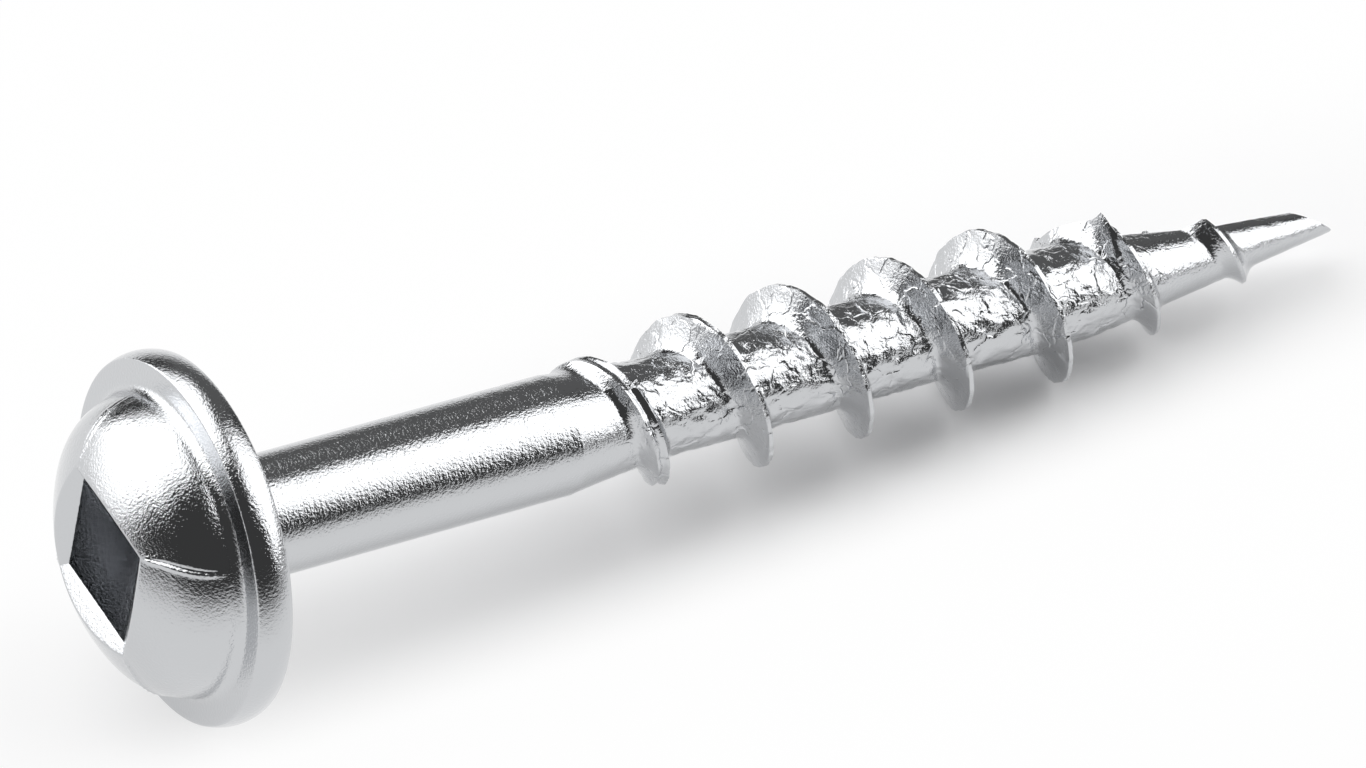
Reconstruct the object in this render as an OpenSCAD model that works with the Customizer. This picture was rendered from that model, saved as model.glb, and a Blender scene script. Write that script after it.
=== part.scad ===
// Pocket hole screw with a washer head, a square drive recess, a plain shank,
// a coarse wood thread and a slotted auger point.
// It lies on its flange rim and one thread crest. The origin is the centre of
// the bearing face under the head, +X runs towards the point and +Z is up.

/* [Head] */
// Diameter of the washer flange at its widest
flange_d = 9.15; // [8.4:0.05:12]
// Thickness of the washer flange
flange_t = 0.91; // [0.7:0.01:1.6]
// Radius of the rounding across the flange rim
rim_r = 1; // [0.8:0.05:2]
// Diameter of the domed crown where it leaves the flange
dome_d = 7.44; // [6.6:0.02:8]
// Height of the crown above the flange
dome_h = 2.33; // [2.1:0.01:3]
// Radius of the crown's rounded shoulder
shoulder_r = 1.7; // [1.2:0.05:2]
// Radius of the fillet between crown and flange
foot_r = 0.26; // [0.1:0.02:0.3]
// Radius of the fillet between bearing face and shank
neck_r = 0.3; // [0.1:0.05:0.5]

/* [Drive recess] */
// Width of the square recess across its flats
drive_w = 2.82; // [2.4:0.02:3]
// Depth of the square walls below the top of the crown
drive_depth = 2.5; // [1.8:0.05:2.7]
// Lean of each recess wall
drive_lean = 1.5; // [0.5:0.25:3]
// Depth of the punched point below the square walls
drive_point = 0.35; // [0.1:0.05:0.5]
// Width of the chamfer round the recess mouth at its corners
drive_chamfer = 0.3; // [0.1:0.01:0.4]
// Slope of the chamfer towards the recess
chamfer_lean = 28; // [20:1:45]
// Turn of a recess corner away from straight down
drive_turn = 53; // [0:0.5:89.5]

/* [Shank and thread] */
// Length from the bearing face to the point
screw_l = 31.75; // [31:0.25:38]
// Length of the plain shank
shank_l = 9.6; // [6:0.1:12]
// Diameter of the plain shank
shank_d = 2.98; // [2.7:0.02:3.4]
// Outside diameter of the thread
thread_d = 4.2; // [3.8:0.02:4.6]
// Diameter of the thread's core
core_d = 2.48; // [2.2:0.02:2.6]
// Advance of the thread in one turn
pitch = 2.84; // [2.4:0.02:3.2]
// Width of the flat along the thread's crest
crest_w = 0.12; // [0.08:0.01:0.2]
// Half the width of a thread ridge where it meets the core
ridge_w = 0.48; // [0.4:0.02:1.14]
// Hollowness of the thread's flanks, where 1 is straight
flank_hollow = 1.7; // [1:0.1:3]
// Length over which the shank narrows to the core
neck_down = 3; // [1.5:0.1:4]
// Length over which the thread rises to its full height
thread_rise = 4.2; // [2:0.1:6]
// Distance from the bearing face to the lowest crest, which sets the thread's turn
crest_at = 23.69; // [22.5:0.01:25]

/* [Point] */
// Distance from the end of the screw to where the core starts to taper
core_taper = 7.4; // [6:0.1:8]
// Distance from the end of the screw to where the crest starts to taper
crest_taper = 8; // [6.5:0.05:8.5]
// Slope of the tapered crest against the axis
crest_slope = 12.2; // [11:0.1:16]
// Distance from the end of the screw to where the thread has run out
crest_out = 1.4; // [1:0.1:2]
// Diameter of the core at the very end, before the slanted cut
tip_d = 0.62; // [0.5:0.02:0.9]
// Length of the slanted cut that makes the piercing nib
nib_l = 0.85; // [0.6:0.05:1.2]
// Width of the flat left at the end of the nib
nib_w = 0.05; // [0.04:0.01:0.1]
// Turn of the slanted cut away from straight down
nib_turn = 139; // [0:1:359]
// Length of the auger slot, with its sloping entry
slot_l = 7.6; // [6.5:0.1:8]
// Length of the slot's sloping entry
slot_entry = 0.8; // [0.5:0.1:2]
// Distance of the slot's floor from the axis where the entry ends
slot_mouth = 0.85; // [0.6:0.05:1]
// Length of the slot's last stretch, where its floor runs along the axis
slot_run = 3.75; // [3:0.05:4.2]
// Distance of that last stretch from the axis
slot_floor = 0.3; // [0.2:0.05:0.5]
// Distance of the slot's cutting wall from the axis
slot_wall = 0.35; // [0.2:0.05:0.5]
// Turn of the slot's floor away from straight down
slot_turn = 109; // [0:1:359]

/* [Hidden] */

// Smallest length that keeps two joined shapes overlapping
lap = 0.4;
// Step that keeps the thread's facets inside the true shank
inset = 0.015;
// Facets round the thread
sides = 48;
// Facet count of the turned shapes
round_fn = 96;
// Largest turn of one straight step along an arc of the outline
arc_step = 6;

flange_r = flange_d / 2;
dome_r = dome_d / 2;
shank_r = shank_d / 2;
crest_r = thread_d / 2;
core_r = core_d / 2;
tip_r = tip_d / 2;

// Crown: a shoulder arc and a larger top arc that meet on one tangent
head_h = flange_t + dome_h;
shoulder_x = dome_r - shoulder_r;
crown_r = (shoulder_x * shoulder_x + dome_h * dome_h - shoulder_r * shoulder_r)
    / (2 * (dome_h - shoulder_r));
crown_turn = atan2(shoulder_x, crown_r - dome_h);
foot_x = shoulder_x + sqrt(pow(shoulder_r + foot_r, 2) - foot_r * foot_r);
foot_turn = asin(foot_r / (shoulder_r + foot_r));

// Rim: one arc across the flange, bulging most at its middle
rim_z = -flange_t / 2;
rim_x = flange_r - rim_r;
rim_turn = asin(-rim_z / rim_r);

// Recess: corner radius of its square, and where its chamfer meets the crown
mouth_r = drive_w / sqrt(2);
chamfer_top = sqrt(crown_r * crown_r - pow(mouth_r + drive_chamfer, 2)) - crown_r;

// Thread, with every place measured along the axis from the bearing face
neck_end_r = shank_r - inset;
core_end = screw_l - core_taper;
crest_end = screw_l - crest_taper;
run_out_z = screw_l - crest_out;
thread_z = shank_l - lap;

// Radius of the crest, rising from the shank and falling at the point
function crest(z) = min(
    crest_r,
    neck_end_r + (crest_r - neck_end_r) * (z - shank_l) / thread_rise,
    crest_r - (z - crest_end) * tan(crest_slope));

// Part of the way from a to b at x, eased at both ends
function eased(x, a, b) = let (u = max(0, min(1, (x - a) / (b - a)))) u * u * (3 - 2 * u);

// Radius of the core, from the shank down to the end
function core(z) = z < core_end
    ? neck_end_r + (core_r - neck_end_r) * eased(z, shank_l, shank_l + neck_down)
    : core_r - (core_r - tip_r) * (z - core_end) / (screw_l - core_end);

// Share of the full ridge height at a distance t from the middle of the crest
function ridge(t) = pow(1 - min(1, max(0, abs(t) - crest_w / 2) / (ridge_w - crest_w / 2)), flank_hollow);

// Radius of the threaded part at height z, a distance t from its nearest crest
function thread_radius(z, t) =
    core(z) + max(0, crest(z) - core(z)) * ridge(t) * eased(run_out_z - z, 0, crest_out);

// Distances from the crest at which the ridge is drawn, in one turn of the thread
flank_steps = [0, 0.2, 0.45, 0.72, 1];
half_row = [for (u = flank_steps) crest_w / 2 + u * (ridge_w - crest_w / 2)];
row = concat([for (i = [len(half_row) - 1:-1:0]) -half_row[i]], half_row);

// Crests cross the lowest line of the screw at crest_at and whole turns from it
first_turn = -ceil((crest_at - thread_z) / pitch) - 1;
last_turn = ceil((screw_l - crest_at) / pitch);
low_crests = [for (k = [0:last_turn]) crest_at + k * pitch];

// Tilt at which the rim's arc and a crest corner at height z touch one floor
function floor_tilt(z) = let (
        run = z - rim_z,
        drop = rim_x - crest(z)
    ) asin(rim_r / norm([run, drop])) + atan2(drop, run);

// The crest that needs the least tilt is the one that touches
tilt = min([for (z = low_crests) if (z < screw_l) floor_tilt(z + crest_w / 2)]);

// Points along an arc round [x, z], where turn 0 faces the crown and 90 faces out
function arc(x, z, radius, from, to) = let (steps = ceil(abs(to - from) / arc_step))
    [for (i = [0:steps]) let (a = from + (to - from) * i / steps) [x + radius * sin(a), z - radius * cos(a)]];

// Points along an arc without its first, which the outline has already
function arc_on(x, z, radius, from, to) = let (points = arc(x, z, radius, from, to))
    [for (i = [1:len(points) - 1]) points[i]];

// Half outline of the turned blank, from the top of the crown to the end of the shank
blank_outline = concat(
    arc(0, crown_r - head_h, crown_r, 0, crown_turn),
    arc_on(shoulder_x, -flange_t, shoulder_r, crown_turn, 90 - foot_turn),
    arc_on(foot_x, -flange_t - foot_r, foot_r, 270 - foot_turn, 180),
    arc(rim_x, rim_z, rim_r, 90 - rim_turn, 90 + rim_turn),
    arc(shank_r + neck_r, neck_r, neck_r, 0, -90),
    [[shank_r, shank_l], [0, shank_l]]
);

// Square drive recess with leaning walls, a chamfered mouth and a punched point,
// measured upwards from the top of the crown
module recess() {
    chamfer_z = chamfer_top - drive_chamfer / sqrt(2) * tan(chamfer_lean);
    deep_r = mouth_r - (drive_depth + chamfer_z) * tan(drive_lean) * sqrt(2);
    flare = sqrt(2) / tan(chamfer_lean);
    rotate([0, 0, drive_turn]) {
        translate([0, 0, -drive_depth])
            cylinder(h = drive_depth + chamfer_z, r1 = deep_r, r2 = mouth_r, $fn = 4);
        translate([0, 0, chamfer_z])
            cylinder(h = -chamfer_z + lap, r1 = mouth_r, r2 = mouth_r + flare * (lap - chamfer_z), $fn = 4);
    }
    translate([0, 0, -drive_depth - drive_point])
        cylinder(h = drive_point, r1 = 0, r2 = deep_r / sqrt(2), $fn = round_fn);
}

// Washer head and plain shank, turned as one, with the recess punched in
module blank() {
    difference() {
        rotate_extrude($fn = round_fn) polygon(blank_outline);
        translate([0, 0, -head_h]) mirror([0, 0, 1]) recess();
    }
}

// Core and thread as one skin, drawn on rows that climb with the thread
module threaded_core() {
    places = [for (k = [first_turn:last_turn]) for (t = row) [crest_at + k * pitch + t, t]];
    rows = len(places);
    climb = pitch / sides;
    points = [
        for (j = [0:sides - 1]) for (p = places)
            let (
                turn = 360 * j / sides,
                z = min(screw_l, max(thread_z, p[0] + climb * j)),
                r = thread_radius(z, p[1])
            ) [r * cos(turn), r * sin(turn), z]
    ];
    // First and last row of each column that lie on the two end rings
    low = [for (j = [0:sides - 1]) len([for (p = places) if (p[0] + climb * j <= thread_z) 1]) - 1];
    high = [for (j = [0:sides - 1]) len([for (p = places) if (p[0] + climb * j < screw_l) 1])];
    // One turn round, the rows meet those a whole turn further along
    function at(j, i) = j < sides
        ? j * rows + max(low[j], min(high[j], i))
        : max(low[0], min(high[0], i + len(row)));
    skin = [
        for (j = [0:sides - 1]) for (i = [0:rows - 2])
            for (f = [
                [at(j, i), at(j, i + 1), at(j + 1, i + 1)],
                [at(j, i), at(j + 1, i + 1), at(j + 1, i)]
            ])
                if (f[0] != f[1] && f[1] != f[2] && f[2] != f[0]) f
    ];
    start_cap = [for (j = [0:sides - 1]) at(j, 0)];
    end_cap = [for (j = [sides - 1:-1:0]) at(j, rows - 1)];
    polyhedron(points, concat(skin, [start_cap, end_cap]), convexity = 10);
}

// Auger slot that gives the last turns of the thread a cutting edge
module auger_slot() {
    reach = thread_d;
    entry_z = screw_l - slot_l;
    rotate([0, 0, slot_turn]) translate([0, reach, 0]) rotate([90, 0, 0])
        linear_extrude(height = reach + slot_wall) polygon([
            [slot_mouth, entry_z + slot_entry],
            [slot_floor, screw_l - slot_run],
            [slot_floor, screw_l + lap],
            [reach, screw_l + lap],
            [reach, entry_z],
            [crest_r, entry_z]
        ]);
}

// Slanted cut across the end, which leaves a nib on one side
module nib_cut() {
    reach = thread_d;
    nib_x = tip_r - nib_w;
    slope = nib_l / (nib_x + tip_r);
    rotate([0, 0, nib_turn]) translate([0, reach, 0]) rotate([90, 0, 0])
        linear_extrude(height = 2 * reach) polygon([
            [-nib_x, screw_l],
            [-nib_x, screw_l + lap],
            [reach, screw_l + lap],
            [reach, screw_l - slope * (reach + nib_x)]
        ]);
}

module screw() {
    color([0.76, 0.78, 0.80]) rotate([0, 90 + tilt, 0]) {
        blank();
        difference() {
            threaded_core();
            auger_slot();
            nib_cut();
        }
    }
}

screw();
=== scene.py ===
"""Pocket hole screw: the fine form and the plated finish of its head, thread and point.

Sizes are in millimetres in the screw's own frame: +z runs along the axis from the bearing
face to the point, and turn 0 faces the floor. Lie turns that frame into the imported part's
frame, in metres.
"""

import logging
import math
from dataclasses import dataclass, field, fields
from enum import Enum
from types import SimpleNamespace
from typing import Union

import bpy
import numpy as np
from mathutils import Matrix, Vector


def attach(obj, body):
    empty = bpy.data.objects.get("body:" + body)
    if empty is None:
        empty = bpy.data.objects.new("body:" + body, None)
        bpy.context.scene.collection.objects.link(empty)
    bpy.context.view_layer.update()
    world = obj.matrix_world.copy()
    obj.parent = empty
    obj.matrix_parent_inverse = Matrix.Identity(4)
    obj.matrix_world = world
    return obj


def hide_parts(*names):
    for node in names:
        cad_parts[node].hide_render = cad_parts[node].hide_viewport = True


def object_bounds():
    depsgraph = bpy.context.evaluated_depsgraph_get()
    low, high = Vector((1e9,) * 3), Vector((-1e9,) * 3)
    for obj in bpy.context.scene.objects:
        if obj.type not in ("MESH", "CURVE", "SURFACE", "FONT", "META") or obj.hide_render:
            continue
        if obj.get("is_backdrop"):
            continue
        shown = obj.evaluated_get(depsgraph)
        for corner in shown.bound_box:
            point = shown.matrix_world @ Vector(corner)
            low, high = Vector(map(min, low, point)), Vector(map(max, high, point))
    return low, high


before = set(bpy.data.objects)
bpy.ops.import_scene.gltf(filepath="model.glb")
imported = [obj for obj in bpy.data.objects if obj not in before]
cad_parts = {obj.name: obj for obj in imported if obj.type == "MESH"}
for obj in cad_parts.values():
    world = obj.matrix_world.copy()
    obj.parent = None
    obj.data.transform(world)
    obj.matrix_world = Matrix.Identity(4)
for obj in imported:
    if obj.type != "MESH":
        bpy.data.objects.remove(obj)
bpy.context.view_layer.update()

Tree = bpy.types.NodeTree
Socket = bpy.types.NodeSocket
Value = Union["Field", float]
Sizes = SimpleNamespace

LOG = logging.getLogger("pocket_hole_screw")
NODE = "screw"
BODY = "root"
METRES = 0.001
FULL_TURN = 2 * math.pi
ON_AXIS = 0.01

# Columns round the axis, which the blank and the thread's skin share, and the skin's rows.
COLUMNS = 176
ROWS_PER_TURN = 50
ROW_CROWDING = 0.5
MERGE_REACH = 0.0015


class Ease(Enum):
    """How a value moves from one end of a range to the other."""

    STRAIGHT = "LINEAR"
    SMOOTH = "SMOOTHSTEP"


class Field:
    """A float output of a node tree that takes part in formulas."""

    def __init__(self, tree: Tree, socket: Socket) -> None:
        """Keeps the tree and the socket that carries the value."""
        self.tree = tree
        self.socket = socket

    def _math(self, operation: str, *others: Value) -> "Field":
        """Adds one Math node.

        Args:
            operation: Name of the node's operation.
            others: The values after this one.

        Returns:
            The node's result.
        """
        node = self.tree.nodes.new("ShaderNodeMath")
        node.operation = operation
        for socket, value in zip(node.inputs, (self, *others)):
            put(self.tree, value, socket)
        return Field(self.tree, node.outputs[0])

    def __add__(self, other: Value) -> "Field":
        """Sum."""
        return self._math("ADD", other)

    def __sub__(self, other: Value) -> "Field":
        """Difference."""
        return self._math("SUBTRACT", other)

    def __mul__(self, other: Value) -> "Field":
        """Product."""
        return self._math("MULTIPLY", other)

    def __truediv__(self, other: Value) -> "Field":
        """Quotient."""
        return self._math("DIVIDE", other)

    def __rsub__(self, other: float) -> "Field":
        """Difference from a plain number."""
        return (self * -1.0) + other

    def power(self, other: Value) -> "Field":
        """This value raised to another."""
        return self._math("POWER", other)

    def low(self, other: Value) -> "Field":
        """The smaller of two values."""
        return self._math("MINIMUM", other)

    def high(self, other: Value) -> "Field":
        """The larger of two values."""
        return self._math("MAXIMUM", other)

    def size(self) -> "Field":
        """The value without its sign."""
        return self._math("ABSOLUTE")

    def floor(self) -> "Field":
        """The whole number below."""
        return self._math("FLOOR")

    def sine(self) -> "Field":
        """Sine of an angle in radians."""
        return self._math("SINE")

    def cosine(self) -> "Field":
        """Cosine of an angle in radians."""
        return self._math("COSINE")

    def tangent(self) -> "Field":
        """Tangent of an angle in radians."""
        return self._math("TANGENT")

    def exponential(self) -> "Field":
        """The number e raised to this value."""
        return constant(self.tree, math.e).power(self)

    def hill(self, reach: Value) -> "Field":
        """A bell of height 1 round zero.

        Args:
            reach: Distance at which the bell has fallen to about a third.

        Returns:
            The height of the bell at this value.
        """
        share = self / reach
        return (share * share * -1.0).exponential()

    def across(
        self,
        start: Value,
        end: Value,
        first: Value = 0.0,
        last: Value = 1.0,
        ease: Ease = Ease.STRAIGHT,
    ) -> "Field":
        """Moves from first to last while this value moves from start to end.

        Args:
            start: This value where the move begins.
            end: This value where it ends.
            first: Result up to the start.
            last: Result from the end on.
            ease: Shape of the move.

        Returns:
            The result, held between first and last.
        """
        node = self.tree.nodes.new("ShaderNodeMapRange")
        node.interpolation_type = ease.value
        node.clamp = True
        names = ("Value", "From Min", "From Max", "To Min", "To Max")
        for name, value in zip(names, (self, start, end, first, last)):
            put(self.tree, value, node.inputs[name])
        return Field(self.tree, node.outputs["Result"])


def put(tree: Tree, value: object, socket: Socket) -> None:
    """Sets a socket to a number, or links a field or another socket to it."""
    value = value.socket if isinstance(value, Field) else value
    if isinstance(value, Socket):
        tree.links.new(value, socket)
    else:
        socket.default_value = value


def add(tree: Tree, kind: str, settings: dict | None = None, **inputs: object) -> bpy.types.Node:
    """Adds a node and fills its inputs.

    Args:
        tree: Tree that gets the node.
        kind: Type name of the node.
        settings: Values of the node's own settings.
        inputs: Input name, with underscores for spaces, and its value.

    Returns:
        The new node.
    """
    node = tree.nodes.new(kind)
    for name, value in (settings or {}).items():
        setattr(node, name, value)
    for name, value in inputs.items():
        put(tree, value, node.inputs[name.replace("_", " ")])
    return node


def constant(tree: Tree, value: float) -> Field:
    """A plain number as a field."""
    node = tree.nodes.new("ShaderNodeValue")
    node.outputs[0].default_value = value
    return Field(tree, node.outputs[0])


def split(tree: Tree, vector: Socket) -> tuple[Field, Field, Field]:
    """The three parts of a vector."""
    node = add(tree, "ShaderNodeSeparateXYZ", Vector=vector)
    return tuple(Field(tree, node.outputs[name]) for name in "XYZ")


def vector_of(tree: Tree, x: Field, y: Field, z: Value) -> Socket:
    """A vector made of three values."""
    return add(tree, "ShaderNodeCombineXYZ", X=x, Y=y, Z=z).outputs[0]


def scaled(tree: Tree, vector: object, factor: Value) -> Socket:
    """A vector times a number."""
    settings = {"operation": "SCALE"}
    return add(tree, "ShaderNodeVectorMath", settings, Vector=vector, Scale=factor).outputs[0]


def diagonal(a: Field, b: Field) -> Field:
    """Length of the diagonal over two sides."""
    return (a * a + b * b).power(0.5)


def noise(
    tree: Tree, place: Socket, seed: Field | None = None, kind: str = "FBM", **inputs: Value
) -> Field:
    """Adds a noise texture.

    Args:
        tree: Tree that gets the node.
        place: Where the noise is read.
        seed: Fourth coordinate, or None for noise in three dimensions.
        kind: Type of the noise.
        inputs: Scale, detail and other inputs of the node.

    Returns:
        The noise, from about 0 to 1.
    """
    settings = {"noise_dimensions": "3D" if seed is None else "4D", "noise_type": kind}
    node = add(tree, "ShaderNodeTexNoise", settings, Vector=place, **inputs)
    if seed is not None:
        put(tree, seed, node.inputs["W"])
    return Field(tree, node.outputs[0])


def store(tree: Tree, geometry: Socket, name: str, value: Field) -> Socket:
    """Keeps a value on each point of a geometry, as a named attribute."""
    settings = {"data_type": "FLOAT", "domain": "POINT"}
    inputs = {"Geometry": geometry, "Name": name, "Value": value}
    return add(tree, "GeometryNodeStoreNamedAttribute", settings, **inputs).outputs["Geometry"]


def label(name: str) -> str:
    """The name of a size as the input of a node tree."""
    return name.replace("_", " ").capitalize()


def placed(name: str, data: bpy.types.ID) -> bpy.types.Object:
    """Adds an object to the scene."""
    piece = bpy.data.objects.new(name, data)
    bpy.context.scene.collection.objects.link(piece)
    return piece


def smooth(x: np.ndarray | float, a: float, b: float) -> np.ndarray:
    """Part of the way from a to b at x, eased at both ends."""
    u = np.clip((np.asarray(x, float) - a) / (b - a), 0.0, 1.0)
    return u * u * (3 - 2 * u)


def bell(x: np.ndarray, reach: float) -> np.ndarray:
    """A bell of height 1 round zero."""
    return np.exp(-((x / reach) ** 2))


@dataclass(frozen=True)
class Lie:
    """How the screw lies: on its flange rim and on one crest of its thread."""

    tilt: float = 5.85056

    def matrix(self) -> Matrix:
        """Turns the screw's own frame, in millimetres, into the part's frame in metres."""
        return Matrix.Rotation(math.radians(90 + self.tilt), 4, "Y") @ Matrix.Scale(METRES, 4)


@dataclass(frozen=True)
class Drive:
    """Square recess in the crown, with its chamfer and its punched point."""

    width: float = 2.82
    depth: float = 2.5
    lean: float = 1.5
    point: float = 0.35
    chamfer: float = 0.3
    chamfer_lean: float = 28.0
    turn: float = 53.0
    edge: float = 0.05
    inner_edge: float = 0.03

    @property
    def corner_r(self) -> float:
        """Distance from the axis to a corner of the mouth."""
        return self.width / math.sqrt(2)

    @property
    def chamfer_slope(self) -> float:
        """Rise of the chamfer for each millimetre outward."""
        return math.tan(math.radians(self.chamfer_lean))

    def square(self, corner: float, turns: np.ndarray) -> np.ndarray:
        """Distance from the axis to the side of a square.

        Args:
            corner: Distance to its corners.
            turns: Angles in degrees.

        Returns:
            One distance for each angle.
        """
        return corner * math.cos(math.pi / 4) / self.facing(turns)

    def facing(self, turns: np.ndarray) -> np.ndarray:
        """Cosine between each angle and the nearest side's own direction."""
        return np.cos(np.radians(np.mod(turns - self.turn, 90) - 45))


@dataclass(frozen=True)
class Seam:
    """Double-lipped seam that runs over the dome from each corner of the recess."""

    height: float = 0.04
    strengths: tuple[float, ...] = (0.8, 0.4, 1.0, 0.8)
    reach: float = 0.055
    gap: float = 0.1
    length: float = 2.25
    uneven: float = 0.12
    turn: float = 11.1
    cord: float = 0.35
    cord_pitch: float = 0.17
    cord_skew: float = 20.0
    second_lip: float = 0.45
    valley: float = 0.3
    valley_share: float = 0.6
    sway: float = 0.02
    sway_rate: float = 2.3

    def lift(self, side: np.ndarray, path: np.ndarray, quarter: np.ndarray) -> np.ndarray:
        """Height of the seam above the dome.

        Args:
            side: Distance of each column from the line of its seam.
            path: Distance of each column from the recess.
            quarter: Number of the seam that each column belongs to.

        Returns:
            One height for each column.
        """
        length = self.length * (1 - self.uneven * np.sin(2.1 * (quarter - 2)))
        share = np.clip(path / length, 0.0, 1.0)
        side = side - self.sway * np.sin(self.sway_rate * path + 1.7 * quarter)
        gap = self.gap * (0.25 + 0.75 * np.sin(math.pi * share))
        wave = FULL_TURN * path / self.cord_pitch + quarter + side * self.cord_skew
        lips = (1 + self.cord * np.sin(wave)) * bell(side - gap, self.reach)
        lips += self.second_lip * bell(side + gap, self.reach)
        lips -= self.valley * bell(side, self.valley_share * self.reach)
        fade = smooth(share, -0.03, 0.06) * (1 - smooth(share, 0.75, 1.0))
        return self.height * np.take(self.strengths, quarter.astype(int)) * lips * fade


@dataclass(frozen=True)
class RingCounts:
    """How finely each stretch of the blank's outline is drawn."""

    walls: int = 12
    crown: int = 14
    shoulder: int = 28
    foot: int = 7
    rim: int = 10
    neck: int = 6
    plain: int = 12
    marked: int = 38


@dataclass
class Blank:
    """Washer head and plain shank, drawn as rings from the recess to the thread."""

    flange_d: float = 9.15
    flange_t: float = 0.91
    rim_r: float = 1.0
    rim_aim: float = 0.15
    rim_skip: float = 0.07
    dome_d: float = 7.44
    dome_h: float = 2.33
    shoulder_r: float = 1.7
    foot_r: float = 0.26
    neck_r: float = 0.3
    shank_l: float = 9.6
    shank_d: float = 2.98
    edge: float = 0.05
    crowding: float = 0.8
    foot_crowding: float = 0.5
    halvings: int = 40
    drive: Drive = Drive()
    seam: Seam = Seam()
    counts: RingCounts = RingCounts()

    def __post_init__(self) -> None:
        """Works out the arcs that the outline is made of, and the mouth of the recess."""
        self.head_h = self.flange_t + self.dome_h
        self.shoulder_x = self.dome_d / 2 - self.shoulder_r
        self.crown_r = (self.shoulder_x**2 + self.dome_h**2 - self.shoulder_r**2) / (
            2 * (self.dome_h - self.shoulder_r)
        )
        self.crown_turn = math.atan2(self.shoulder_x, self.crown_r - self.dome_h)
        reach = self.shoulder_r + self.foot_r
        self.foot_x = self.shoulder_x + math.sqrt(reach**2 - self.foot_r**2)
        self.foot_turn = math.asin(self.foot_r / reach)
        top = float(self.crown(np.array(self.drive.corner_r + self.drive.chamfer)))
        fall = self.drive.chamfer / math.sqrt(2) * self.drive.chamfer_slope
        self.chamfer_z = top - fall
        self.mouth_r = self.mouth()
        self.rings: list[np.ndarray] = []

    def turns(self, crowding: float) -> np.ndarray:
        """Angles of the columns, in degrees.

        Args:
            crowding: 0 spaces them evenly, and near 1 gathers them at the recess corners.

        Returns:
            One angle for each column.
        """
        share = np.arange(COLUMNS) * 4 / COLUMNS
        quarter = np.floor(share)
        part = share - quarter
        part = part - crowding / FULL_TURN * np.sin(FULL_TURN * part)
        return self.drive.turn + 90 * (quarter + part)

    def crown(self, r: np.ndarray) -> np.ndarray:
        """Height of the crown at distance r from the axis, from its top."""
        return np.sqrt(self.crown_r**2 - r**2) - self.crown_r

    def lift(self, u: np.ndarray | float) -> np.ndarray | float:
        """Height in the screw's frame of a point u above the top of the crown."""
        return -self.head_h - u

    def drift(self, r: np.ndarray) -> np.ndarray:
        """Angle in degrees by which the columns lean with the seams, at distance r."""
        dome_r = self.dome_d / 2
        mouth = self.drive.corner_r + self.drive.chamfer
        stations = (mouth, dome_r - 0.07, dome_r + 0.1, dome_r + 0.65)
        return np.interp(r, stations, (0.0, self.seam.turn, self.seam.turn, 0.0))

    def ring(self, r: np.ndarray | float, z: np.ndarray | float, crowding: float = 0.0) -> None:
        """Adds one ring of points at distance r and height z."""
        turns = self.turns(crowding)
        r = np.broadcast_to(r, turns.shape)
        z = np.broadcast_to(z, turns.shape)
        a = np.radians(turns + self.drift(r))
        self.rings.append(np.stack([r * np.cos(a), r * np.sin(a), z], axis=1))

    def arc(
        self,
        centre: tuple[float, float],
        radius: float,
        span: tuple[float, float],
        steps: int,
        crowd: tuple[float, float] = (0.0, 0.0),
    ) -> None:
        """Adds rings along an arc of the outline, without its first point.

        Args:
            centre: Distance of the arc's centre from the axis, and its height.
            radius: Radius of the arc.
            span: First and last turn in radians, where 0 faces the crown.
            steps: Number of rings.
            crowd: Crowding of the columns at its first and last ring.
        """
        for k in range(1, steps + 1):
            a = span[0] + (span[1] - span[0]) * k / steps
            crowding = crowd[0] + (crowd[1] - crowd[0]) * k / steps
            self.ring(centre[0] + radius * math.sin(a), centre[1] - radius * math.cos(a), crowding)

    def mouth(self) -> np.ndarray:
        """Distance from the axis at which each column's chamfer meets the crown."""
        turns = self.turns(self.crowding)
        facing = self.drive.facing(turns)
        low = self.drive.square(self.drive.corner_r, turns)
        high = low + 1.0
        for _ in range(self.halvings):
            middle = (low + high) / 2
            outward = middle * facing - self.drive.width / 2
            under = self.chamfer_z + outward * self.drive.chamfer_slope < self.crown(middle)
            low = np.where(under, middle, low)
            high = np.where(under, high, middle)
        return low

    def bend(self, before: tuple, edge: tuple, after: tuple, reach: float) -> list[tuple]:
        """Rounds an edge of the outline that lies between two points.

        Args:
            before: Distances and heights before the edge.
            edge: Those of the edge.
            after: Those after it.
            reach: Distance from the edge at which the rounding starts.

        Returns:
            Five stations that replace the edge.
        """
        points = [np.stack(np.broadcast_arrays(*p)).astype(float) for p in (before, edge, after)]
        a, corner, b = points
        ends = []
        for away in (a - corner, b - corner):
            ends.append(corner + away * reach / np.maximum(np.linalg.norm(away, axis=0), 1e-9))
        a, b = ends
        shares = (0.0, 0.25, 0.5, 0.75, 1.0)
        return [tuple((1 - t) ** 2 * a + 2 * t * (1 - t) * corner + t**2 * b) for t in shares]

    def between(self, start: tuple, end: tuple, shares: tuple | np.ndarray) -> list[tuple]:
        """Stations at shares of the way from one point of the outline to another."""
        return [tuple(a + (b - a) * k for a, b in zip(start, end)) for k in shares]

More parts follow.
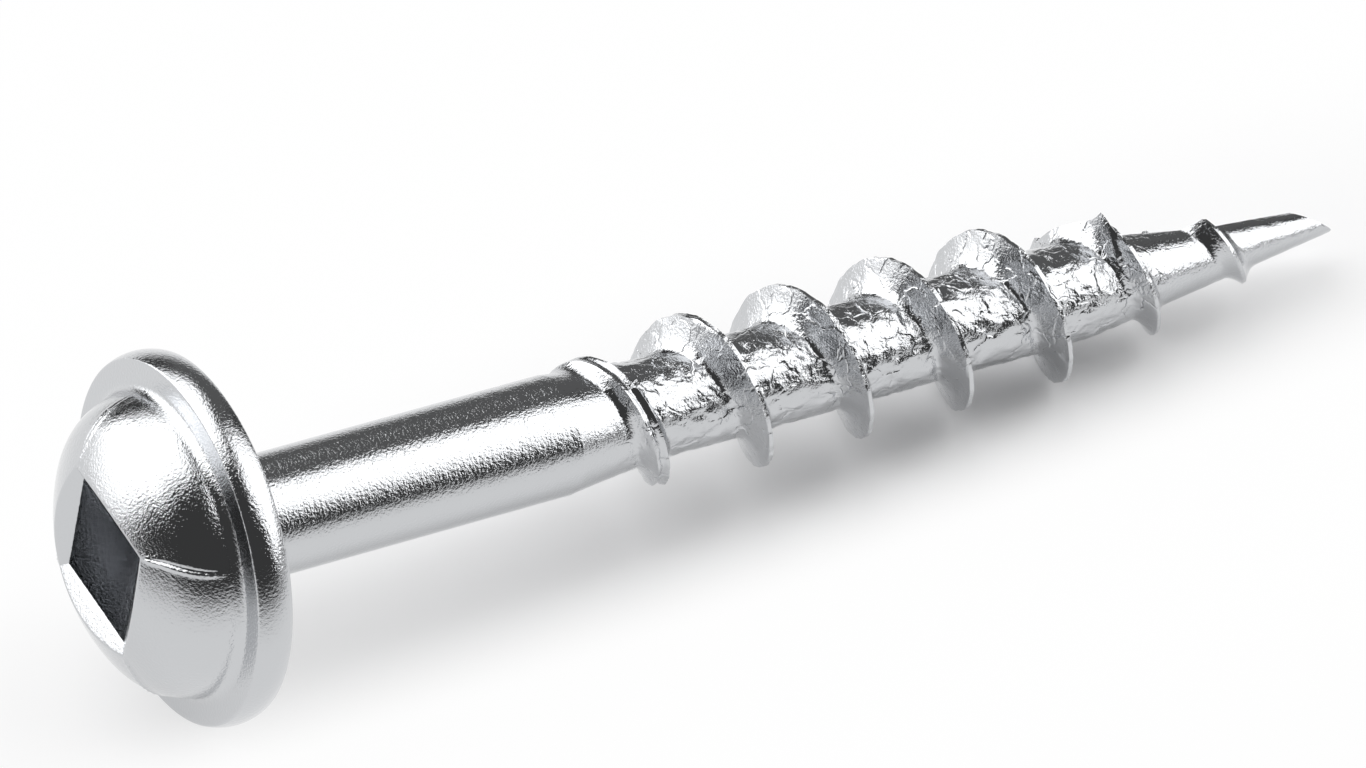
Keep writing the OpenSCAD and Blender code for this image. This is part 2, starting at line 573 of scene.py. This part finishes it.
    def draw_recess(self) -> None:
        """Adds the rings of the punched point, floor, walls and chamfer."""
        d, crowd = self.drive, self.crowding
        turns = self.turns(crowd)
        fall = (d.depth + self.chamfer_z) * math.tan(math.radians(d.lean))
        deep_r = d.corner_r - fall * math.sqrt(2)
        for k in (0.0, 0.08, 0.35, 0.65, 0.94):
            self.ring(deep_r / math.sqrt(2) * k, self.lift(-d.depth - d.point * (1 - k)), crowd)
        deep = d.square(deep_r, turns)
        foot = (deep, -d.depth)
        lip = (d.square(d.corner_r, turns), self.chamfer_z)
        rim = (self.mouth_r, self.crown(self.mouth_r))
        beyond = self.mouth_r + 0.2
        stations = [(deep * 0.97, -d.depth)]
        stations += self.bend((deep * 0.9, -d.depth), foot, lip, d.edge)
        stations += self.between(foot, lip, np.linspace(0.08, 0.95, self.counts.walls))
        stations += self.bend(foot, lip, rim, d.inner_edge)
        stations += self.between(lip, rim, (0.35, 0.65))
        stations += self.bend(lip, rim, (beyond, self.crown(beyond)), d.edge)
        for r, z in stations:
            self.ring(r, self.lift(z), crowd)

    def draw_crown(self) -> None:
        """Adds the rings of the crown, its shoulder and the fillet at its foot."""
        crowd = self.crowding
        edge_r = self.crown_r * math.sin(self.crown_turn)
        start = self.mouth_r + self.drive.edge
        first = len(self.rings)
        for k in np.linspace(0.06, 1.0, self.counts.crown):
            r = start + (edge_r - start) * k
            self.ring(r, self.lift(self.crown(r)), crowd)
        centre = (self.shoulder_x, -self.flange_t)
        span = (self.crown_turn, math.pi / 2 - self.foot_turn)
        self.arc(centre, self.shoulder_r, span, self.counts.shoulder, (crowd, crowd))
        self.raise_seams(first)
        centre = (self.foot_x, -self.flange_t - self.foot_r)
        span = (math.radians(270) - self.foot_turn, math.pi)
        self.arc(centre, self.foot_r, span, self.counts.foot, (crowd, self.foot_crowding))

    def raise_seams(self, first: int) -> None:
        """Raises a double-lipped seam on the dome from each corner of the recess.

        Args:
            first: Index of the first ring of the dome.
        """
        path = np.zeros(COLUMNS)
        turns = self.turns(self.crowding) - self.drive.turn + 45
        away = np.radians(np.mod(turns, 90) - 45)
        quarter = np.floor(np.mod(turns, 360) / 90)
        middle = np.array((0.0, 0.0, self.crown_r - self.head_h - 1.0))
        before = self.rings[first]
        lifted = []
        for now in self.rings[first:]:
            path = path + np.linalg.norm(now - before, axis=1)
            before = now
            side = away * np.hypot(now[:, 0], now[:, 1])
            outward = now - middle
            outward /= np.linalg.norm(outward, axis=1)[:, None]
            lifted.append(now + outward * self.seam.lift(side, path, quarter)[:, None])
        self.rings[first:] = lifted

    def draw_flange(self) -> None:
        """Adds the rings of the washer: upper face, rim, bearing face and neck fillet."""
        rim_x, rim_z = self.flange_d / 2 - self.rim_r, -self.flange_t / 2
        turn = math.asin(-rim_z / self.rim_r)
        lean = math.pi / 2 - turn
        face_r = rim_x + self.rim_r * math.cos(turn)
        aim = lean + self.rim_aim
        near = (rim_x + self.rim_r * math.sin(aim), rim_z - self.rim_r * math.cos(aim))
        upper = ((self.foot_x, -self.flange_t), (face_r, -self.flange_t), near)
        lower = ((near[0], -self.flange_t - near[1]), (face_r, 0.0), (self.foot_x, 0.0))
        for k in (0.35, 0.75):
            r = self.foot_x + (face_r - self.foot_x) * k
            self.ring(r, -self.flange_t, self.foot_crowding * (1 - k))
        for r, z in self.bend(*upper, self.edge):
            self.ring(float(r), float(z))
        span = (lean + self.rim_skip, math.pi / 2 + turn - self.rim_skip)
        self.arc((rim_x, rim_z), self.rim_r, span, self.counts.rim)
        for r, z in self.bend(*lower, self.edge):
            self.ring(float(r), float(z))
        neck_x = self.shank_d / 2 + self.neck_r
        for k in (0.3, 0.65, 1.0):
            self.ring(face_r - self.edge + (neck_x - face_r + self.edge) * k, 0.0)
        self.arc((neck_x, self.neck_r), self.neck_r, (0.0, -math.pi / 2), self.counts.neck)

    def draw_shank(self, rolled_from: float) -> None:
        """Adds the rings of the plain shank, close together where the rolls have marked it.

        Args:
            rolled_from: Height at which the marks begin.
        """
        plain = np.linspace(self.neck_r, rolled_from, self.counts.plain)[1:]
        marked = np.linspace(rolled_from, self.shank_l, self.counts.marked)[1:]
        for z in (*plain, *marked):
            self.ring(self.shank_d / 2, float(z))

    def mesh(self, rolled_from: float) -> bpy.types.Mesh:
        """Draws the blank as one mesh that is open only at the thread.

        Args:
            rolled_from: Height at which the shank's rings come close together.

        Returns:
            The mesh, in millimetres.
        """
        self.rings.clear()
        self.draw_recess()
        self.draw_crown()
        self.draw_flange()
        self.draw_shank(rolled_from)
        faces = []
        for start in range(0, (len(self.rings) - 1) * COLUMNS, COLUMNS):
            for j in range(COLUMNS):
                a, b = start + j, start + (j + 1) % COLUMNS
                faces.append((a, b, b + COLUMNS, a + COLUMNS))
        mesh = bpy.data.meshes.new("blank")
        mesh.from_pydata(np.concatenate(self.rings).tolist(), [], faces)
        mesh.update()
        return mesh


@dataclass
class Thread:
    """Sizes of the coarse thread, whose skin is drawn on rows that climb with it."""

    pitch: float = 2.84
    shank_l: float = 9.6
    shank_r: float = 1.49
    crest_r: float = 2.1
    core_r: float = 1.24
    crest_w: float = 0.12
    ridge_w: float = 0.48
    flank_hollow: float = 1.7
    neck_down: float = 3.0
    neck_fall: float = 1.5
    thread_rise: float = 4.2
    crest_at: float = 23.69
    length: float = 31.75
    core_taper: float = 7.4
    crest_taper: float = 8.0
    crest_slope: float = 12.2
    crest_out: float = 1.4
    tip_r: float = 0.31
    burr: float = 0.25
    burr_at: float = 25.0
    burr_reach: float = 0.09
    column_turn: float = 53.0
    lip_w: float = 0.2
    groove: float = 0.07
    groove_reach: float = 0.075
    groove_end: float = 14.2
    groove_fade: float = 2.2
    waver: float = 0.012
    hammer: float = 0.12
    streak: float = 0.012
    root_streak: float = 0.2
    rolled_from: float = 7.4
    seed: float = 4.0

    def __post_init__(self) -> None:
        """Counts the rows that cover the thread from end to end."""
        start = (self.shank_l - self.crest_at) / self.pitch - self.column_turn / 360
        end = (self.length - self.crest_at) / self.pitch - self.column_turn / 360
        self.first = math.floor(start) - 2
        self.rows = (math.ceil(end) + 1 - self.first) * ROWS_PER_TURN

    def tree(self) -> Tree:
        """Builds the node tree that adds the threaded skin to the blank.

        Returns:
            The tree, with a named input for each size.
        """
        tree = bpy.data.node_groups.new("threaded skin", "GeometryNodeTree")
        face = tree.interface
        face.new_socket("Blank", in_out="INPUT", socket_type="NodeSocketGeometry")
        for size in fields(self):
            name = label(size.name)
            socket = face.new_socket(name, in_out="INPUT", socket_type="NodeSocketFloat")
            socket.default_value = getattr(self, size.name)
        face.new_socket("Finish", in_out="INPUT", socket_type="NodeSocketMaterial")
        face.new_socket("Screw", in_out="OUTPUT", socket_type="NodeSocketGeometry")
        given = tree.nodes.new("NodeGroupInput").outputs
        named = {size.name: Field(tree, given[label(size.name)]) for size in fields(self)}
        s = Sizes(**named)
        skin = self.skin(tree, s)
        joined = add(tree, "GeometryNodeJoinGeometry")
        for part in (given["Blank"], skin):
            put(tree, part, joined.inputs["Geometry"])
        joint = {"Geometry": joined.outputs[0], "Distance": MERGE_REACH}
        closed = add(tree, "GeometryNodeMergeByDistance", **joint)
        marked = self.marks(tree, s, closed.outputs["Geometry"])
        real = add(tree, "GeometryNodeRealizeInstances", Geometry=marked)
        dress = {"Geometry": real.outputs["Geometry"], "Material": given["Finish"]}
        dressed = add(tree, "GeometryNodeSetMaterial", **dress)
        out = tree.nodes.new("NodeGroupOutput")
        put(tree, dressed.outputs["Geometry"], out.inputs["Screw"])
        return tree

    def skin(self, tree: Tree, s: Sizes) -> Socket:
        """Wraps a flat grid round the core, with the ridge of the thread on it.

        Args:
            tree: Tree that gets the nodes.
            s: The named sizes, as fields.

        Returns:
            The wrapped grid, with the share of the ridge's height in its ridge attribute.
        """
        grid = add(
            tree,
            "GeometryNodeMeshGrid",
            Size_X=float(self.rows - 1),
            Size_Y=float(COLUMNS),
            Vertices_X=self.rows,
            Vertices_Y=COLUMNS + 1,
        )
        x, y, _ = split(tree, tree.nodes.new("GeometryNodeInputPosition").outputs[0])
        row = x + (self.rows - 1) / 2
        turn = s.column_turn / 360.0 + (y + COLUMNS / 2) / float(COLUMNS)
        angle = turn * FULL_TURN
        along = (row + 0.01) / float(ROWS_PER_TURN)
        whole = along.floor()
        part = along - whole - 0.5
        t = (part - (part * FULL_TURN).sine() * (ROW_CROWDING / FULL_TURN)) * s.pitch
        z = s.crest_at + (whole + turn + float(self.first)) * s.pitch + t
        z = z.high(s.shank_l).low(s.length)

        early = z.across(s.groove_end - s.groove_fade, s.groove_end, 1.0, 0.0, Ease.SMOOTH)
        core = self.core(s, z)
        crest = self.crest(s, z, self.ripple(tree, s, angle, z))
        ridge = self.ridge(s, t, early)
        out = (s.length - s.crest_out - z).across(0.0, s.crest_out, 0.0, 1.0, Ease.SMOOTH)
        grown = (z - s.shank_l).across(0.3, 2.0)
        groove = t.hill(s.groove_reach) * early * s.groove * grown
        radius = core + (crest - core).high(0.0) * ridge * out - groove
        radius = radius * (row - float(self.rows - 1.5)).across(0.0, 0.01, 1.0, 0.0)
        spot = vector_of(tree, radius * angle.cosine(), radius * angle.sine(), z)
        wrap = {"Geometry": grid.outputs["Mesh"], "Position": spot}
        wrapped = add(tree, "GeometryNodeSetPosition", **wrap)
        flipped = add(tree, "GeometryNodeFlipFaces", Mesh=wrapped.outputs["Geometry"])
        shown = ridge * (z - s.shank_l).across(0.0, 1.5)
        return store(tree, flipped.outputs[0], "ridge", shown)

    def ripple(self, tree: Tree, s: Sizes, angle: Field, z: Field) -> Field:
        """Noise beyond the shank, from about -1 to 1, that closes round the axis."""
        place = vector_of(tree, angle.cosine() * 2.0, angle.sine() * 2.0, z)
        wave = (noise(tree, place, s.seed, Scale=0.55, Detail=2.0) - 0.5) * 2.0
        return wave * z.across(s.shank_l, s.shank_l + 1.0)

    def core(self, s: Sizes, z: Field) -> Field:
        """Distance of the core from the axis, from the shank's down to the tip's."""
        left = z.across(s.shank_l, s.shank_l + s.neck_down, 1.0, 0.0)
        neck = s.core_r + (s.shank_r - s.core_r) * left.power(s.neck_fall)
        return neck - z.across(s.length - s.core_taper, s.length, 0.0, s.core_r - s.tip_r)

    def crest(self, s: Sizes, z: Field, ripple: Field) -> Field:
        """Distance of the crest from the axis, with its waver and its burr."""
        rise = s.shank_r + (s.crest_r - s.shank_r) * ((z - s.shank_l) / s.thread_rise)
        slope = (s.crest_slope * (math.pi / 180)).tangent()
        fall = s.crest_r - (z - s.length + s.crest_taper) * slope
        burr = (z - s.burr_at).hill(s.burr_reach) * s.burr
        return s.crest_r.low(rise).low(fall) + (ripple - 1.0) * s.waver + burr

    def ridge(self, s: Sizes, t: Field, early: Field) -> Field:
        """Share of the ridge's height at distance t from its middle, with hollow flanks."""
        land = s.crest_w / 2.0 + early * (s.lip_w / 2.0)
        side = (t.size() - land).high(0.0) / (s.ridge_w - land)
        return (1.0 - side.low(1.0)).power(s.flank_hollow)

    def marks(self, tree: Tree, s: Sizes, geometry: Socket) -> Socket:
        """Dents the core and streaks the roots, where the rolls have moved the steel.

        Args:
            tree: Tree that gets the nodes.
            s: The named sizes, as fields.
            geometry: The closed screw.

        Returns:
            The screw with its marks, and with the core's in its worked attribute.
        """
        place = tree.nodes.new("GeometryNodeInputPosition").outputs[0]
        x, y, z = split(tree, place)
        kept = add(tree, "GeometryNodeInputNamedAttribute", {"data_type": "FLOAT"}, Name="ridge")
        ridge = Field(tree, kept.outputs[0])
        low = (1.0 - ridge * 5.0).high(0.0)
        body = z.across(s.shank_l + 0.6, s.shank_l + 2.2, 0.0, 1.0, Ease.SMOOTH)
        end = z.across(s.length - 6.5, s.length - 4.7, 1.0, 0.2, Ease.SMOOTH)
        patch = noise(tree, place, s.seed + 7.0, Scale=0.9)
        worked = low * low * body * end
        patchy = patch.across(0.35, 0.65, 0.6, 1.0, Ease.SMOOTH)
        lump_look = {"Scale": 2.7, "Detail": 2.5, "Roughness": 0.5, "Distortion": 0.5}
        lumps = noise(tree, place, s.seed + 3.0, **lump_look)
        crease_look = {"Scale": 1.5, "Detail": 3.0, "Roughness": 0.6}
        crease = noise(tree, place, s.seed, "RIDGED_MULTIFRACTAL", **crease_look)
        depth = ((lumps - 0.5) * 1.5 - crease * 0.1) * worked * patchy * s.hammer

        rolled = z.across(s.rolled_from, s.rolled_from + 0.5, 0.0, 1.0, Ease.SMOOTH)
        root = (1.0 - (ridge - 0.25).size() * 3.5).high(0.0) * s.root_streak
        beside = root + z.across(s.shank_l + 1.0, s.shank_l - 0.3)
        radius = diagonal(x, y).high(ON_AXIS)
        lines = vector_of(tree, x / radius * 0.9, y / radius * 0.9, z)
        stripe = noise(tree, lines, s.seed + 11.0, Scale=4.0, Detail=2.0, Roughness=0.6)
        streaks = (stripe - 0.5) * 2.0 * rolled * beside.low(1.0) * s.streak
        away = vector_of(tree, x / radius, y / radius, 0.0)
        shift = {
            "Geometry": store(tree, geometry, "worked", worked * patchy),
            "Offset": scaled(tree, away, depth + streaks),
        }
        return add(tree, "GeometryNodeSetPosition", **shift).outputs["Geometry"]


@dataclass(frozen=True)
class Point:
    """Auger slot and slanted nib, cut from the end of the thread."""

    reach: float = 4.2
    lap: float = 0.4
    slot_l: float = 7.6
    slot_entry: float = 0.8
    slot_run: float = 3.75
    slot_mouth: float = 0.85
    slot_floor: float = 0.3
    slot_wall: float = 0.35
    slot_turn: float = 109.0
    nib_l: float = 0.85
    nib_w: float = 0.05
    nib_turn: float = 139.0

    def slot(self, thread: Thread) -> bpy.types.Object:
        """Makes the cutter of the auger slot."""
        entry = thread.length - self.slot_l
        end = thread.length + self.lap
        outline = [
            (self.slot_mouth, entry + self.slot_entry),
            (self.slot_floor, thread.length - self.slot_run),
            (self.slot_floor, end),
            (self.reach, end),
            (self.reach, entry),
            (thread.crest_r, entry),
        ]
        return self.cutter("slot cutter", outline, self.slot_turn, -self.slot_wall)

    def nib(self, thread: Thread) -> bpy.types.Object:
        """Makes the cutter of the slanted end."""
        side = thread.tip_r - self.nib_w
        slope = self.nib_l / (side + thread.tip_r)
        end = thread.length + self.lap
        outline = [
            (-side, thread.length),
            (-side, end),
            (self.reach, end),
            (self.reach, thread.length - slope * (self.reach + side)),
        ]
        return self.cutter("nib cutter", outline, self.nib_turn, -self.reach)

    def cutter(
        self, name: str, outline: list[tuple[float, float]], turn: float, low: float
    ) -> bpy.types.Object:
        """Makes a prism whose outline lies in a plane through the axis.

        Args:
            name: Name of the object.
            outline: Distances from the axis and heights.
            turn: Angle of that plane in degrees.
            low: Where the prism begins, across the plane; it ends at the reach.

        Returns:
            The prism, in millimetres.
        """
        spin = Matrix.Rotation(math.radians(turn), 3, "Z")
        points = [spin @ Vector((x, y, z)) for y in (low, self.reach) for x, z in outline]
        n = len(outline)
        faces = [tuple(range(n)), tuple(reversed(range(n, 2 * n)))]
        faces += [(i, i + n, (i + 1) % n + n, (i + 1) % n) for i in range(n)]
        mesh = bpy.data.meshes.new(name)
        mesh.from_pydata(points, [], faces)
        mesh.update()
        if sum(face.area * face.normal.dot(face.center) for face in mesh.polygons) < 0:
            mesh.flip_normals()
        return placed(name, mesh)


@dataclass(frozen=True)
class ZincFinish:
    """Bright zinc plating over steel."""

    name: str = "bright zinc"
    colour: tuple[float, float, float] = (0.575, 0.585, 0.6)
    roughness: float = 0.04
    cloud: float = 0.02
    grain_depth: float = 0.013
    grain_size: float = 0.07
    streak_depth: float = 0.4
    flank_streak: float = 0.15
    crack_depth: float = 1.2
    crack_size: float = 0.7
    crack_width: float = 0.06
    crack_warp: float = 0.5
    pit_depth: float = 0.5
    pit_size: float = 0.16
    sharp_from: float = 38.0

    def material(self, lie: Lie) -> bpy.types.Material:
        """Builds the material.

        Args:
            lie: How the screw lies, so that the marks follow its axis.

        Returns:
            The material, whose grain and clouds come from a shared node group.
        """
        material = bpy.data.materials.new(self.name)
        material.use_nodes = True
        tree = material.node_tree
        shader = tree.nodes["Principled BSDF"]
        shader.inputs["Base Color"].default_value = (*self.colour, 1.0)
        shader.inputs["Metallic"].default_value = 1.0
        here = tree.nodes.new("ShaderNodeTexCoord").outputs["Object"]
        own = add(tree, "ShaderNodeMapping", Vector=here)
        own.inputs["Rotation"].default_value = (0.0, -math.radians(90 + lie.tilt), 0.0)
        own.inputs["Scale"].default_value = (1 / METRES,) * 3
        place = own.outputs["Vector"]
        look = {"Size": self.grain_size, "Roughness": self.roughness, "Cloud": self.cloud}
        grain = add(tree, "ShaderNodeGroup", {"node_tree": plated_grain()}, Place=place, **look)
        height = Field(tree, grain.outputs["Height"])
        height = height + self.streaks(tree, place) + self.cracks(tree, place)
        relief = {"Strength": 1.0, "Distance": self.grain_depth * METRES, "Height": height}
        bump = add(tree, "ShaderNodeBump", **relief)
        put(tree, grain.outputs["Roughness"], shader.inputs["Roughness"])
        put(tree, bump.outputs["Normal"], shader.inputs["Normal"])
        return material

    def mask(self, tree: Tree, name: str) -> Field:
        """A named attribute of the mesh."""
        node = add(tree, "ShaderNodeAttribute", {"attribute_name": name})
        return Field(tree, node.outputs["Fac"])

    def streaks(self, tree: Tree, place: Socket) -> Field:
        """Fine lines that the rolls draw round the shank and the thread.

        Args:
            tree: Tree that gets the nodes.
            place: Place in the screw's own frame, in millimetres.

        Returns:
            The height of the lines.
        """
        x, y, z = split(tree, place)
        radius = diagonal(x, y).high(ON_AXIS)
        turned = vector_of(tree, x / radius * 1.6, y / radius * 1.6, z * 9.0)
        lines = noise(tree, turned, Scale=1.0, Detail=2.0, Roughness=0.6)
        calm = (1.0 - self.mask(tree, "ridge") * 3.0).high(self.flank_streak)
        return lines * z.across(0.2, 0.6) * calm * self.streak_depth

    def cracks(self, tree: Tree, place: Socket) -> Field:
        """Crazed lines and pits where the rolls have crushed the core.

        Args:
            tree: Tree that gets the nodes.
            place: Place in the screw's own frame, in millimetres.

        Returns:
            The height of the marks.
        """
        warp = add(tree, "ShaderNodeTexNoise", Vector=place, Scale=2.0, Detail=2.0)
        moved = add(tree, "ShaderNodeVectorMath", {"operation": "ADD"})
        put(tree, place, moved.inputs[0])
        put(tree, scaled(tree, warp.outputs["Color"], self.crack_warp), moved.inputs[1])
        edges = {"feature": "DISTANCE_TO_EDGE"}
        net = {"Vector": moved.outputs[0], "Scale": 1 / self.crack_size}
        apart = Field(tree, add(tree, "ShaderNodeTexVoronoi", edges, **net).outputs["Distance"])
        crack = apart.across(0.0, self.crack_width, -self.crack_depth, 0.0)
        crack = crack * Field(tree, warp.outputs["Fac"]).across(0.42, 0.55)
        pits = noise(tree, place, Scale=1 / self.pit_size, Detail=1.0, Roughness=0.5)
        return (crack + pits * self.pit_depth) * self.mask(tree, "worked")


def plated_grain() -> Tree:
    """Builds the shared effect of fine grain and dull clouds on plating, once.

    Returns:
        The node group, which gives a height from 0 to 1 and a roughness.
    """
    name = "plated grain"
    if name in bpy.data.node_groups:
        return bpy.data.node_groups[name]
    tree = bpy.data.node_groups.new(name, "ShaderNodeTree")
    face = tree.interface
    face.new_socket("Place", in_out="INPUT", socket_type="NodeSocketVector")
    for size in ("Size", "Roughness", "Cloud"):
        face.new_socket(size, in_out="INPUT", socket_type="NodeSocketFloat")
    for result in ("Height", "Roughness"):
        face.new_socket(result, in_out="OUTPUT", socket_type="NodeSocketFloat")
    given = tree.nodes.new("NodeGroupInput").outputs
    out = tree.nodes.new("NodeGroupOutput").inputs
    place = given["Place"]
    size, roughness, share = (Field(tree, given[key]) for key in ("Size", "Roughness", "Cloud"))
    one = constant(tree, 1.0)
    fine = noise(tree, place, Scale=one / size, Detail=2.0, Roughness=0.6)
    clouds = noise(tree, place, Scale=one / (size * 9.0), Detail=3.0, Roughness=0.55)
    put(tree, fine, out["Height"])
    put(tree, roughness + (clouds - 0.5) * share * 2.0, out["Roughness"])
    return tree


@dataclass
class Screw:
    """The whole screw, one piece of plated steel."""

    lie: Lie = Lie()
    blank: Blank = field(default_factory=Blank)
    thread: Thread = field(default_factory=Thread)
    point: Point = Point()
    finish: ZincFinish = ZincFinish()

    def build(self) -> bpy.types.Object:
        """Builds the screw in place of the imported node.

        Returns:
            The finished piece.
        """
        material = self.finish.material(self.lie)
        mesh = self.form(material)
        mesh.name = "screw body"
        mesh.transform(self.lie.matrix())
        mesh.shade_smooth()
        mesh.set_sharp_from_angle(angle=math.radians(self.finish.sharp_from))
        mesh.materials.clear()
        mesh.materials.append(material)
        screw = placed("screw_body", mesh)
        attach(screw, BODY)
        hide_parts(NODE)
        return screw

    def form(self, material: bpy.types.Material) -> bpy.types.Mesh:
        """Rolls the thread onto the blank and cuts the point.

        Args:
            material: Material that the node tree asks for.

        Returns:
            The mesh of the screw in its own frame, in millimetres.
        """
        raw = placed("raw screw", self.blank.mesh(self.thread.rolled_from))
        skin = raw.modifiers.new("thread", "NODES")
        skin.node_group = self.thread.tree()
        for socket in skin.node_group.interface.items_tree:
            if socket.socket_type == "NodeSocketFloat":
                skin[socket.identifier] = socket.default_value
            elif socket.socket_type == "NodeSocketMaterial":
                skin[socket.identifier] = material
        cutters = [self.point.slot(self.thread), self.point.nib(self.thread)]
        for cutter in cutters:
            cut = raw.modifiers.new(cutter.name, "BOOLEAN")
            cut.operation = "DIFFERENCE"
            cut.solver = "MANIFOLD"
            cut.object = cutter
        bpy.context.view_layer.update()
        shown = raw.evaluated_get(bpy.context.evaluated_depsgraph_get())
        mesh = bpy.data.meshes.new_from_object(shown)
        for piece in (raw, *cutters):
            bpy.data.objects.remove(piece)
        return mesh


def towards(azimuth: float, elevation: float) -> Vector:
    """Direction from the screw, where azimuth 0 faces -Y and 90 faces +X."""
    turn, rise = math.radians(azimuth), math.radians(elevation)
    level = math.cos(rise)
    return Vector((math.sin(turn) * level, -math.cos(turn) * level, math.sin(rise)))


@dataclass(frozen=True)
class SoftLight:
    """Rectangular soft light: where it hangs, which way its back points, its size and level."""

    name: str
    place: tuple[float, float, float]
    back: tuple[float, float]
    roll: float
    width: float
    height: float
    radiance: float

    def hang(self) -> None:
        """Adds the light at its place."""
        light = bpy.data.lights.new(self.name, "AREA")
        light.shape = "RECTANGLE"
        light.size = self.width
        light.size_y = self.height
        light.energy = self.radiance * math.pi * self.width * self.height
        lamp = placed(self.name, light)
        lamp.location = self.place
        turn = towards(*self.back).to_track_quat("Z", "Y").to_matrix()
        lamp.rotation_euler = (turn @ Matrix.Rotation(math.radians(self.roll), 3, "Z")).to_euler()


@dataclass(frozen=True)
class Floor:
    """Pale floor: white round the screw, shaded under it, with a painted pool of light that leaves
    it darker further away.
    """

    side: float = 4.0
    colour: tuple[float, float, float] = (0.86, 0.86, 0.865)
    roughness: float = 0.9
    white: float = 0.97
    shade_middle: float = 0.0179
    shade_reach: tuple[float, float] = (0.00045, 0.0044)
    shade_taper: float = 0.14
    shade_behind: float = 0.5
    # Painted pool of light on the floor: where it ends, its edge and how fast it fades.
    pool_end: float = -0.002
    pool_edge: float = 0.01
    pool_fade: float = 0.021

    def lay(self) -> None:
        """Lays the floor under the lowest point of the screw."""
        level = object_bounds()[0].z
        half = self.side / 2
        corners = [(x * half, y * half, level) for x, y in ((-1, -1), (1, -1), (1, 1), (-1, 1))]
        mesh = bpy.data.meshes.new("floor")
        mesh.from_pydata(corners, [], [(0, 1, 2, 3)])
        mesh.materials.append(self.material())
        placed("floor", mesh)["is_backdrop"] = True

    def material(self) -> bpy.types.Material:
        """Builds the floor's material.

        Returns:
            A matt tone, darkened outward by a painted pool of light, that turns into plain white
            for the camera, and for reflections only inside that painted pool.
        """
        material = bpy.data.materials.new("pale floor")
        material.use_nodes = True
        tree = material.node_tree
        shader = tree.nodes["Principled BSDF"]
        shader.inputs["Roughness"].default_value = self.roughness
        x, y, _ = split(tree, tree.nodes.new("ShaderNodeTexCoord").outputs["Object"])
        # Painted pool of light round the screw, which darkens the floor's colour further away.
        near = self.pool(x, y)
        put(tree, scaled(tree, self.colour, near), shader.inputs["Base Color"])
        rays = tree.nodes.new("ShaderNodeLightPath").outputs
        # Reflections see the plain white only inside the painted pool of light.
        seen = Field(tree, rays["Is Glossy Ray"]) * near
        for kind in ("Is Camera Ray", "Is Transmission Ray"):
            seen = seen.high(Field(tree, rays[kind]))
        glow = add(tree, "ShaderNodeEmission", Strength=1.0)
        mixed = add(tree, "ShaderNodeMixShader", Fac=self.lit(x, y) * seen)
        put(tree, shader.outputs["BSDF"], mixed.inputs[1])
        put(tree, glow.outputs["Emission"], mixed.inputs[2])
        put(tree, mixed.outputs["Shader"], tree.nodes["Material Output"].inputs["Surface"])
        return material

    def pool(self, x: Field, y: Field) -> Field:
        """Painted pool of light: the floor's brightness as the plating reflects it, painted into
        its colour, which falls off outward.
        """
        left = (self.pool_end - x - y.high(0.0)).high(0.0)
        front = (y * -1.0).high(0.0)
        return ((self.pool_edge - diagonal(left, front)) / self.pool_fade).exponential().low(1.0)

    def lit(self, x: Field, y: Field) -> Field:
        """Share of plain white in the floor, which is none under the screw."""
        past = (x - self.shade_middle) * self.shade_taper
        aside = (y * self.shade_behind).high(y * -1.0)
        return diagonal(past, aside).across(*self.shade_reach, 0.0, self.white, Ease.SMOOTH)


@dataclass
class Studio:
    """Floor, soft light and the camera at the photo's viewing angle."""

    azimuth: float = -30.3615
    elevation: float = 39.175
    camera_place: tuple[float, float, float] = (-0.09985, -0.19293, 0.18132)
    lens: float = 316.25
    clip: tuple[float, float] = (0.01, 10.0)
    world_level: float = 0.06
    floor: Floor = Floor()
    lights: tuple[SoftLight, ...] = (
        SoftLight("low softbox", (-0.378, 0.339, 0.135), (-148.6, 20.8), 12.0, 0.56, 0.34, 1.9),
        SoftLight("leaning softbox", (-0.192, 0.276, 0.436), (216.8, 53.7), 34.7, 0.74, 0.83, 1.9),
        SoftLight("side softbox", (0.281, -0.168, 0.339), (71.7, 16.5), 7.6, 0.465, 0.62, 1.9),
        SoftLight("fill card", (0.316, 0.376, 0.344), (140.0, 35.0), 0.0, 0.5, 0.8, 0.08),
    )

    def build(self) -> None:
        """Sets the floor, the light, the world and the camera."""
        self.floor.lay()
        for light in self.lights:
            light.hang()
        self.world()
        self.camera()
        bpy.context.scene.view_settings.view_transform = "Standard"

    def world(self) -> None:
        """Gives the room its plain dark tone."""
        world = bpy.data.worlds.new("studio")
        bpy.context.scene.world = world
        world.use_nodes = True
        shade = world.node_tree.nodes["Background"]
        shade.inputs["Color"].default_value = (1.0, 1.0, 1.0, 1.0)
        shade.inputs["Strength"].default_value = self.world_level

    def camera(self) -> None:
        """Sets the camera where the photo was taken from."""
        data = bpy.data.cameras.new("camera")
        data.lens = self.lens
        data.clip_start, data.clip_end = self.clip
        camera = placed("camera", data)
        camera.location = self.camera_place
        turn = math.radians(self.azimuth)
        camera.rotation_euler = (math.radians(90 - self.elevation), 0.0, turn)
        bpy.context.scene.camera = camera


def main() -> None:
    """Builds the screw and its studio in order, and reports each."""
    logging.basicConfig(level=logging.INFO, format="%(message)s")
    screw = Screw().build()
    mesh = screw.data
    LOG.info("%s: %d vertices, %d faces", screw.name, len(mesh.vertices), len(mesh.polygons))
    Studio().build()
    LOG.info("studio: floor, lights and camera")


if __name__ == "__main__":
    main()
